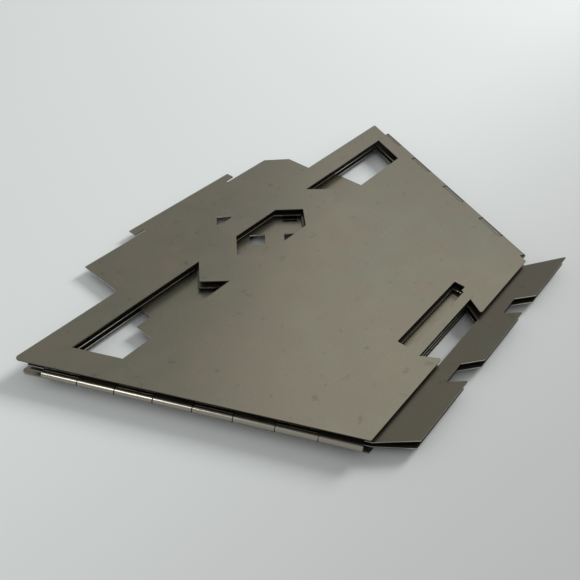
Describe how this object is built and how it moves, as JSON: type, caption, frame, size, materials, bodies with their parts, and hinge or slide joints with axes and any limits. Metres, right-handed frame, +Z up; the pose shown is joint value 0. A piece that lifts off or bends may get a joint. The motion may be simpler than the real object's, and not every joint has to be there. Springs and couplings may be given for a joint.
{
  "type": "folding camp stove",
  "caption": "Four trapezoid sheet-metal walls on rolled piano hinges, folded flat like a fan round a loose vented floor plate with hooked tabs.",
  "frame": {"origin": "centre of the folded stove's footprint, on the surface that it lies on", "axes": "+X along the walls' wide rims, +Y from the feet towards the rims, +Z up out of the folded stack"},
  "size_m": [0.2026, 0.1462, 0.0072],
  "materials": {
    "outer_sheet": "satin bead-blasted titanium sheet, olive grey",
    "inner_sheet": "satin bead-blasted titanium sheet, darker",
    "rolled_knuckle": "titanium sheet burnished by rolling",
    "pin_wire": "drawn titanium wire"
  },
  "bodies": {
    "left_wall": {"left_wall": "outer_sheet", "left_wall_knuckles": "rolled_knuckle", "back_hinge_pin": "pin_wire"},
    "back_wall": {"back_wall": "inner_sheet", "back_wall_middle_knuckles": "rolled_knuckle", "back_wall_back_knuckles": "rolled_knuckle", "middle_hinge_pin": "pin_wire"},
    "right_wall": {"right_wall": "inner_sheet", "right_wall_front_knuckles": "rolled_knuckle", "right_wall_middle_knuckles": "rolled_knuckle", "front_hinge_pin": "pin_wire"},
    "front_wall": {"front_wall": "outer_sheet", "front_wall_knuckles": "rolled_knuckle"},
    "floor_plate": {"floor_plate": "outer_sheet"}
  },
  "joints": [
    {"name": "back_wall_fold", "type": "hinge", "parent": "left_wall", "child": "back_wall", "pos_m": [0.10346, 0.0427, 0.00137], "axis": [0.4373, 0.8993, 0], "range_deg": [0, 103.4]},
    {"name": "right_wall_fold", "type": "hinge", "parent": "back_wall", "child": "right_wall", "pos_m": [-0.10284, 0.0427, 0.00363], "axis": [0.4373, -0.8993, 0], "range_deg": [0, 256]},
    {"name": "front_wall_fold", "type": "hinge", "parent": "right_wall", "child": "front_wall", "pos_m": [0.10346, 0.0427, 0.00588], "axis": [0.4373, 0.8993, 0], "range_deg": [0, 103.4]},
    {"name": "floor_plate_slide", "type": "slide", "parent": "back_wall", "child": "floor_plate", "axis": [0, 1, 0], "range_m": [0, 0.15]}
  ],
  "couplings": [
    {"joint": "right_wall_fold", "follows": "back_wall_fold", "ratio": 2.4722},
    {"joint": "front_wall_fold", "follows": "back_wall_fold", "ratio": 1}
  ]
}
